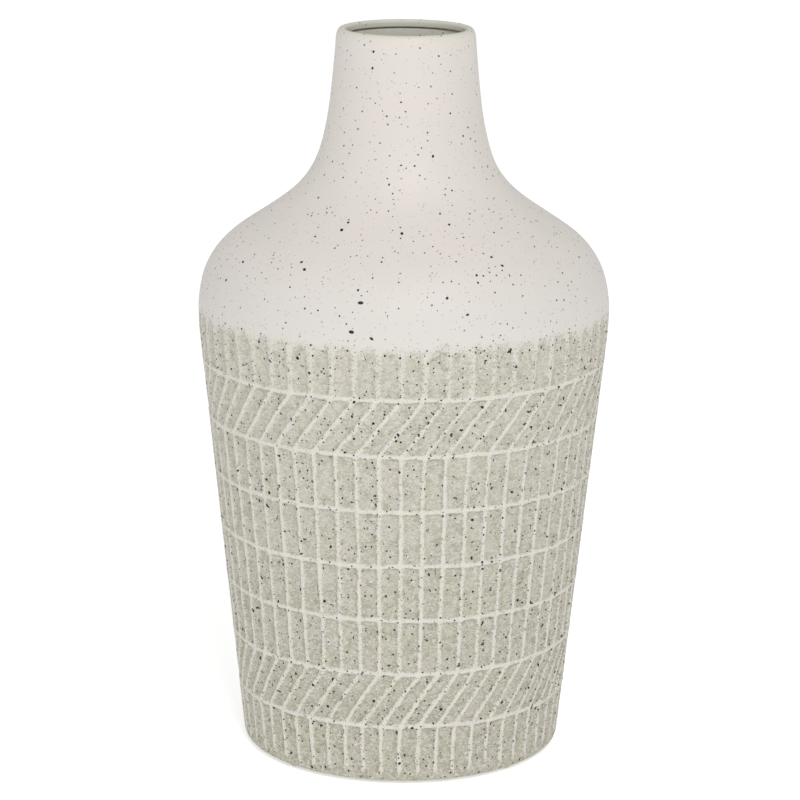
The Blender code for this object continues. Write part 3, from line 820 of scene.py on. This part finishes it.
def coil(name, back, face, centre_length):
    """A coil of clay pressed into a joint: the back follows the wall, and the face shows each press."""
    angles = np.linspace(0, 2 * np.pi, PLAIN_COLUMNS, endpoint=False)[None, :]
    presses = np.abs(np.sin(angles * COIL_PRESSES / 2 + Waves(7, 0.1, 0.6).at(angles, centre_length)))
    lumps = 1 - COIL_PRESS_DEPTH * presses + COIL_LUMPS * Waves(8, 0.010, 0.050).at(angles, centre_length)
    back = np.asarray(back)[:, None, :] + 0 * lumps[..., None]
    face = np.asarray(face)
    chord = np.linspace(face[0], face[-1], len(face))
    pressed = chord[:, None, :] + (face - chord)[:, None, :] * lumps[0][None, :, None]
    section_points = np.concatenate([back, pressed])
    rings = around(section_points[..., 0], section_points[..., 1], angles)
    faces = grid_faces(len(rings), PLAIN_COLUMNS, loop=True)
    return finished(name, rings, faces, BARE_CLAY)


def floor_seam_coil():
    """The coil in the corner between the floor and the wall, smoothed to a hollow by a finger."""
    floor = FLOOR_TOP_HEIGHT + CONTACT_GAP
    top = floor + FLOOR_COIL_LEG
    wall_low = inner(OUTLINE.length_at(floor))[0] - CONTACT_GAP
    wall_high = inner(OUTLINE.length_at(top))[0] - CONTACT_GAP
    reach = FLOOR_COIL_LEG - FLOOR_COIL_EDGE
    hollow = arc((wall_low - FLOOR_COIL_LEG, top), reach, reach, -math.pi / 2, 0, COIL_STEPS)
    back = [(wall_high, top), (wall_low, floor), (wall_low - FLOOR_COIL_LEG, floor)]
    return coil("Floor_Seam_Coil", back[::-1], hollow[::-1], 0.0)


def seam_coil(name, joint):
    """A flattened coil over the inside of a lap joint."""
    centre = joint + LAP_LENGTH / 2
    lengths = np.linspace(centre - SEAM_COIL_HALF_WIDTH, centre + SEAM_COIL_HALF_WIDTH, COIL_STEPS + 1)
    share = (lengths - centre) / SEAM_COIL_HALF_WIDTH
    bulge = (SEAM_COIL_RISE - SEAM_COIL_EDGE) * np.cos(share * math.pi / 2)
    back_depth = wall_thickness(lengths) + CONTACT_GAP
    back = np.stack(OUTLINE.place(lengths, back_depth), axis=1)
    face = np.stack(OUTLINE.place(lengths, back_depth + SEAM_COIL_EDGE + bulge), axis=1)
    return coil(name, back, face[::-1], joint)


def felt_pad(name, node, index):
    """A round felt pad under the foot ring: soft rounded edges and an uneven, fibrous outline."""
    low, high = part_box(node)
    centre = (low + high) / 2
    radius = (high.x - low.x) / 2
    thickness = high.z - low.z
    edge = PAD_EDGE_ROUND
    radii = np.linspace(PAD_CAP_RADIUS, radius - edge, PAD_RINGS)
    under = np.stack([radii, 0 * radii], axis=1)
    low_edge = arc((radius - edge, edge), edge, edge, -math.pi / 2, 0, 4)
    high_edge = arc((radius - edge, thickness - edge), edge, edge, 0, math.pi / 2, 4)
    upper = np.stack([radii, 0 * radii + thickness], axis=1)[::-1]
    profile = np.concatenate([under[:-1], low_edge, high_edge, upper[1:]])
    fuzz = Waves(20 + index, 0.0006, 0.0030, radius=radius)

    def stray(radii, heights, angles):
        inwards = PAD_FUZZ * np.maximum(1 + fuzz.at(angles, heights + radii), 0.0)
        return radii - inwards, heights + inwards * np.where(heights < thickness / 2, 1.0, -1.0)

    pad = capped_turning(name, profile - [0.0, CLAY_FOOT], PAD_COLUMNS, GREY_FELT, stray)
    pad.data.transform(Matrix.Translation((centre.x, centre.y, low.z)))
    return pad


class Shading:
    """A material whose nodes are added one call at a time, each call returning its output socket."""

    def __init__(self, name):
        self.material = bpy.data.materials.new(name)
        self.material.use_nodes = True
        self.tree = self.material.node_tree
        self.shader = self.tree.nodes["Principled BSDF"]
        self.object_place = self.add("ShaderNodeTexCoord", output="Object")

    def add(self, kind, output=0, settings=None, **inputs):
        """A node, with its inputs given by name, or by number as i0, i1 and so on."""
        node = self.tree.nodes.new(kind)
        for key, value in (settings or {}).items():
            setattr(node, key, value)
        for key, value in inputs.items():
            numbered = key[0] == "i" and key[1:].isdigit()
            self.feed(node.inputs[int(key[1:]) if numbered else key], value)
        return node.outputs[output]

    def feed(self, socket, value):
        """Link another socket, or set a constant."""
        if isinstance(value, bpy.types.NodeSocket):
            self.tree.links.new(value, socket)
        else:
            socket.default_value = value

    def calculate(self, operation, first, second=0.0):
        return self.add("ShaderNodeMath", settings={"operation": operation}, i0=first, i1=second)

    def times(self, first, second):
        return self.calculate("MULTIPLY", first, second)

    def plus(self, first, second):
        return self.calculate("ADD", first, second)

    def less(self, first, second):
        return self.calculate("SUBTRACT", first, second)

    def between(self, low, high, share):
        """From low to high, in proportion to the share."""
        return self.plus(self.times(share, high - low), low)

    def rise(self, value, low, high):
        """0 below low, 1 above high and smooth between; low may be above high."""
        settings = {"interpolation_type": "SMOOTHSTEP"}
        return self.add("ShaderNodeMapRange", settings=settings, i0=value, i1=low, i2=high, i3=0.0, i4=1.0)

    def noise(self, scale, detail=2.0, roughness=0.5, distortion=0.0, place=None, output="Fac"):
        place = place or self.object_place
        inputs = {"Scale": scale, "Detail": detail, "Roughness": roughness, "Distortion": distortion}
        return self.add("ShaderNodeTexNoise", output=output, Vector=place, **inputs)

    def colour(self, value):
        """A socket as it is, or a constant with its alpha."""
        return value if isinstance(value, bpy.types.NodeSocket) else (*value, 1.0)

    def mix(self, share, first, second):
        ends = {"i6": self.colour(first), "i7": self.colour(second)}
        return self.add("ShaderNodeMix", output=2, settings={"data_type": "RGBA"}, i0=share, **ends)

    def mask(self, name):
        return self.add("ShaderNodeAttribute", output="Fac", settings={"attribute_name": name})

    def ragged(self, reach, scale):
        """The object coordinates, pushed about by noise, for uneven shapes."""
        push = self.noise(scale, detail=1.0, output="Color")
        centred = self.vector("SUBTRACT", push, (0.5,) * 3)
        return self.vector("ADD", self.object_place, self.vector("MULTIPLY", centred, (2 * reach,) * 3))

    def vector(self, operation, *values, output="Vector"):
        inputs = {"i%d" % index: value for index, value in enumerate(values)}
        return self.add("ShaderNodeVectorMath", output=output, settings={"operation": operation}, **inputs)

    def specks(self, spacing, radius, share, offset=0.0, stretch=0.0, faintest=1.0):
        """Small spots: one cell of clay in each spacing, a share of which holds a spot of up to the radius.

        A stretch above 0 draws each spot out one way of its own. The faintest spots have that much strength.
        """
        place = self.ragged(radius * SPECK_RAGGED, SPECK_RAGGED_SCALE / radius)
        moved = self.vector("ADD", place, (offset,) * 3)
        cells = self.tree.nodes.new("ShaderNodeTexVoronoi")
        self.feed(cells.inputs["Vector"], moved)
        cells.inputs["Scale"].default_value = 1 / spacing
        parts = self.tree.nodes.new("ShaderNodeSeparateColor")
        self.feed(parts.inputs[0], cells.outputs["Color"])
        chosen = self.calculate("LESS_THAN", parts.outputs[0], share)

        away = self.vector("SUBTRACT", moved, cells.outputs["Position"])
        way = self.vector("NORMALIZE", self.vector("SUBTRACT", cells.outputs["Color"], (share / 2, 0.5, 0.5)))
        along = self.vector("DOT_PRODUCT", away, way, output="Value")
        squared = self.vector("DOT_PRODUCT", away, away, output="Value")
        shortened = self.less(squared, self.times(self.times(along, along), stretch))
        distance = self.calculate("SQRT", self.calculate("MAXIMUM", shortened, 0.0))

        reach = self.times(self.between(SMALLEST_SPECK, 1.0, parts.outputs[1]), radius)
        inside = self.rise(self.less(reach, distance), 0.0, SPECK_EDGE)
        return self.times(chosen, self.times(inside, self.between(faintest, 1.0, parts.outputs[2])))

    def spot(self, angle, height, width, tall, tilt):
        """One large spot on the skin, at an angle in degrees and a clay height, as a tilted ellipse."""
        angle = math.radians(angle)
        radius = OUTLINE.place(OUTLINE.length_at(height))[0]
        centre = (radius * math.sin(angle), -radius * math.cos(angle), height + CLAY_FOOT)
        local = self.add(
            "ShaderNodeMapping",
            settings={"vector_type": "TEXTURE"},
            Vector=self.ragged(SPOT_RAGGED, SPOT_RAGGED_SCALE),
            Location=centre,
            Rotation=(0.0, tilt, angle),
            Scale=(width / 2, width / 2, tall / 2),
        )
        return self.rise(self.vector("LENGTH", local, output="Value"), *SPOT_RISE)

    def largest(self, masks):
        total = masks[0]
        for mask in masks[1:]:
            total = self.calculate("MAXIMUM", total, mask)
        return total

    def bump(self, height):
        """Use a height in metres as a bump."""
        normal = self.add("ShaderNodeBump", Height=height, Strength=1.0, Distance=1.0)
        self.feed(self.shader.inputs["Normal"], normal)


def clay(name):
    """Speckled stoneware. Its masks say where it is carved back to gritty clay and where it is glazed."""
    look = Shading(name)
    cream_mask = look.mask("cream")
    glaze_mask = look.mask("glaze")
    tint_mask = look.mask("tint")

    flattened = look.add("ShaderNodeMapping", Vector=look.object_place, Scale=(1.0, 1.0, GRIT_FLATTENED))
    grit = look.noise(GRIT_SCALE, detail=1.0, distortion=1.2, place=flattened)
    sand = look.noise(SAND_SCALE, detail=1.0)
    mottle = look.noise(MOTTLE_SCALE)
    patches = look.rise(look.noise(PATCH_SCALE), *PATCH_RISE)
    clouds = look.rise(look.noise(CLOUD_SCALE, detail=1.0), *PATCH_RISE)
    grit_stray = look.less(grit, 0.5)
    crumb_stray = look.less(look.noise(CRUMB_SCALE, detail=1.0), 0.5)

    stray = look.plus(look.times(grit_stray, CREAM_RAGGED), look.times(crumb_stray, CREAM_CRUMBLED))
    creamy = look.rise(look.plus(cream_mask, stray), *CREAM_RISE)
    height = look.add("ShaderNodeSeparateXYZ", output=2, i0=look.object_place)
    rising = look.rise(height, 0.0, OUTLINE.height_at(GLAZE_EDGE))

    tinted = look.plus(look.times(tint_mask, PANEL_TINT_SHARE), look.times(patches, 1 - PANEL_TINT_SHARE))
    panel = look.mix(tinted, PANEL_GREEN, PANEL_LAVENDER)
    panel = look.mix(look.times(rising, PANEL_TOP_SHARE), panel, PANEL_TOP)
    panel = look.mix(look.rise(mottle, *MOTTLE_RISE), panel, look.vector("MULTIPLY", panel, MOTTLE_DIMS))
    panel = look.mix(look.rise(grit, *GRIT_RISE), look.vector("MULTIPLY", panel, GRIT_DIMS), panel)
    panel = look.mix(look.rise(sand, *SAND_RISE), panel, look.vector("MULTIPLY", panel, SAND_BRIGHTENS))
    # Painted shade darkens the panel left of each rib and below each band; painted light brightens it on
    # their other sides.
    panel = look.vector("MULTIPLY", panel, look.less(1.0, look.times(look.mask("painted_light_and_shade"), PAINTED_SHADE_STRENGTH)))
    carved = look.mix(creamy, panel, look.mix(patches, RIB_WARM, RIB_COOL))

    glaze = look.mix(clouds, GLAZE_GREEN, GLAZE_PINK)
    greyed = look.mix(NECK_GLAZE_SHARE, glaze, NECK_GLAZE)
    glaze = look.mix(look.rise(height, *NECK_GLAZE_HEIGHTS), glaze, greyed)
    glaze = look.mix(look.rise(height, *LOW_GLAZE_HEIGHTS), glaze, GLAZE_LOW)
    glaze = look.mix(tint_mask, glaze, GLAZE_THIN)
    stray = look.times(look.plus(grit_stray, crumb_stray), GLAZE_EDGE_NOISE)
    glazed = look.rise(look.plus(glaze_mask, stray), *GLAZED_RISE)
    halo = look.rise(glaze_mask, *HALO_RISE)
    ground = look.mix(glazed, carved, look.mix(halo, glaze, GLAZE_HALO))

    unglazed = look.less(1.0, glazed)
    peppered = look.rise(glaze_mask, *PEPPER_RISE)
    dark = [look.specks(**SMALL_SPECKS), look.specks(**MEDIUM_SPECKS)]
    dark.append(look.times(look.specks(**SMALL_GRIT_SPECKS), peppered))
    dark.append(look.times(look.specks(**LARGE_GRIT_SPECKS), unglazed))
    dark.extend(look.spot(*spot) for spot in LARGE_SPOTS)
    dark = look.largest(dark)
    ground = look.mix(look.times(look.specks(**TINY_SPECKS), FAINT_SPECK_SHARE), ground, SPECK_FAINT)
    look.feed(look.shader.inputs["Base Color"], look.mix(dark, ground, SPECK_DARK))

    matte = look.less(ROUGH_CLAY, look.times(glazed, ROUGH_CLAY - ROUGH_GLAZE))
    look.feed(look.shader.inputs["Roughness"], look.plus(matte, look.times(grit, GRIT_ROUGHENS)))
    look.shader.inputs["Specular IOR Level"].default_value = CLAY_SPECULAR

    gritty = look.plus(look.times(grit, GRIT_HEIGHT), look.times(sand, SAND_HEIGHT))
    softened = look.less(1.0, look.times(creamy, CREAM_SMOOTHS))
    rough_height = look.times(gritty, look.times(softened, unglazed))
    smooth_height = look.times(look.times(look.noise(PEEL_SCALE), PEEL_HEIGHT), glazed)
    look.bump(look.less(look.plus(rough_height, smooth_height), look.times(dark, PIT_DEPTH)))
    return look.material


def bare_clay(name):
    """Unglazed stoneware, smoothed by hand: warm and sandy, with a few specks."""
    look = Shading(name)
    grit = look.noise(GRIT_SCALE, detail=3.0, roughness=0.65)
    clouds = look.noise(BARE_CLOUD_SCALE)
    base = look.mix(look.rise(clouds, *BARE_CLOUD_RISE), BARE_WARM, BARE_GREY)
    base = look.mix(look.times(look.rise(grit, *BARE_GRIT_RISE), BARE_SAND_SHARE), base, BARE_SAND)
    dark = look.times(look.specks(**BARE_SPECKS), BARE_SPECK_SHARE)
    look.feed(look.shader.inputs["Base Color"], look.mix(dark, base, SPECK_DARK))
    look.feed(look.shader.inputs["Roughness"], look.between(*BARE_ROUGHNESS, grit))
    look.shader.inputs["Specular IOR Level"].default_value = BARE_SPECULAR
    look.bump(look.times(grit, GRIT_HEIGHT))
    return look.material


def felt(name):
    """Grey wool felt: matted fibres in two greys, with a faint sheen."""
    look = Shading(name)
    fibres = look.noise(FIBRE_SCALE, detail=4.0, roughness=0.7, distortion=2.5)
    mottle = look.noise(FELT_MOTTLE_SCALE)
    wool = look.mix(look.rise(fibres, 0.35, 0.65), FELT_DARK, FELT_LIGHT)
    wool = look.mix(look.times(mottle, FELT_MOTTLE_SHARE), wool, FELT_LIGHT)
    look.feed(look.shader.inputs["Base Color"], wool)
    look.shader.inputs["Roughness"].default_value = 0.95
    look.shader.inputs["Specular IOR Level"].default_value = 0.1
    look.shader.inputs["Sheen Weight"].default_value = 0.25
    look.bump(look.times(fibres, FIBRE_HEIGHT))
    return look.material


TEXTURED_CLAY = clay("Textured_Stoneware")
GLAZED_CLAY = clay("Matte_Cream_Glaze")
BARE_CLAY = bare_clay("Bare_Stoneware")
GREY_FELT = felt("Grey_Felt")

settle(foot_ring(), "foot_ring")
settle(floor_disc(), "floor_disc")
settle(lower_wall(), "lower_wall")
settle(section("Upper_Wall", WALL_JOINT, GLAZE_JOINT, TEXTURED_CLAY), "upper_wall")
settle(section("Shoulder", GLAZE_JOINT, SHOULDER_JOINT, GLAZED_CLAY), "shoulder")
settle(neck(), "neck")
settle(rim_bead(), "rim_bead")
settle(floor_seam_coil(), "floor_seam_coil")
settle(seam_coil("Wall_Seam_Coil", WALL_JOINT), "wall_seam_coil")
settle(seam_coil("Shoulder_Seam_Coil", GLAZE_JOINT), "shoulder_seam_coil")
for index, place in enumerate(("Front_Right", "Back_Right", "Back_Left", "Front_Left")):
    node = "felt_pad_" + place.lower()
    settle(felt_pad("Felt_Pad_" + place, node, index), node)


def studio_floor():
    """A plain pale floor, wide enough to fill the view."""
    bpy.ops.mesh.primitive_plane_add(size=FLOOR_SIZE)
    floor = bpy.context.object
    floor.name = "Studio_Floor"
    look = Shading("Studio_Floor")
    cloud = look.noise(1.5, detail=1.0)
    look.feed(look.shader.inputs["Base Color"], look.mix(cloud, FLOOR_PALE, FLOOR_PALER))
    look.shader.inputs["Roughness"].default_value = 0.9
    look.shader.inputs["Specular IOR Level"].default_value = 0.1
    look.shader.inputs["Emission Color"].default_value = (1.0, 1.0, 1.0, 1.0)
    look.shader.inputs["Emission Strength"].default_value = FLOOR_GLOW
    floor.data.materials.append(look.material)


def area_light(name, place, aim, size, power, colour):
    """A soft square light at a place, pointing at another."""
    data = bpy.data.lights.new(name, "AREA")
    data.shape = "SQUARE"
    data.size = size
    data.energy = power
    data.color = colour
    light = bpy.data.objects.new(name, data)
    light.location = place
    light.rotation_euler = (Vector(aim) - Vector(place)).to_track_quat("-Z", "Y").to_euler()
    bpy.context.scene.collection.objects.link(light)


def studio_lights():
    """An even white surround, with one broad light from the front, above and a little to the right."""
    world = bpy.data.worlds.new("Studio")
    world.use_nodes = True
    background = world.node_tree.nodes["Background"]
    background.inputs["Color"].default_value = (1.0, 1.0, 1.0, 1.0)
    background.inputs["Strength"].default_value = SURROUND_STRENGTH
    bpy.context.scene.world = world
    middle = (0.0, 0.0, CLAY_HEIGHT / 2)
    area_light("Key", KEY_PLACE, middle, KEY_SIZE, KEY_POWER, KEY_COLOUR)
    area_light("Fill", FILL_PLACE, middle, FILL_SIZE, FILL_POWER, FILL_COLOUR)


def studio_camera():
    """The camera: a long lens in front of the vase, looking down on it a little."""
    data = bpy.data.cameras.new("Camera")
    data.sensor_width = CAMERA_SENSOR
    data.lens = CAMERA_LENS
    data.clip_end = 100.0
    camera = bpy.data.objects.new("Camera", data)
    forward = Vector((
        math.sin(CAMERA_PAN) * math.cos(CAMERA_PITCH),
        math.cos(CAMERA_PAN) * math.cos(CAMERA_PITCH),
        -math.sin(CAMERA_PITCH),
    ))
    level = Vector((math.cos(CAMERA_PAN), -math.sin(CAMERA_PAN), 0.0))
    upright = level.cross(forward)
    right = math.cos(CAMERA_ROLL) * level + math.sin(CAMERA_ROLL) * upright
    up = math.cos(CAMERA_ROLL) * upright - math.sin(CAMERA_ROLL) * level
    turned = Matrix((right, up, -forward)).transposed().to_4x4()
    camera.matrix_world = Matrix.Translation((0.0, -CAMERA_DISTANCE, CAMERA_HEIGHT + CLAY_FOOT)) @ turned
    bpy.context.scene.collection.objects.link(camera)
    bpy.context.scene.camera = camera


studio_floor()
studio_lights()
studio_camera()
bpy.context.scene.view_settings.view_transform = "Standard"
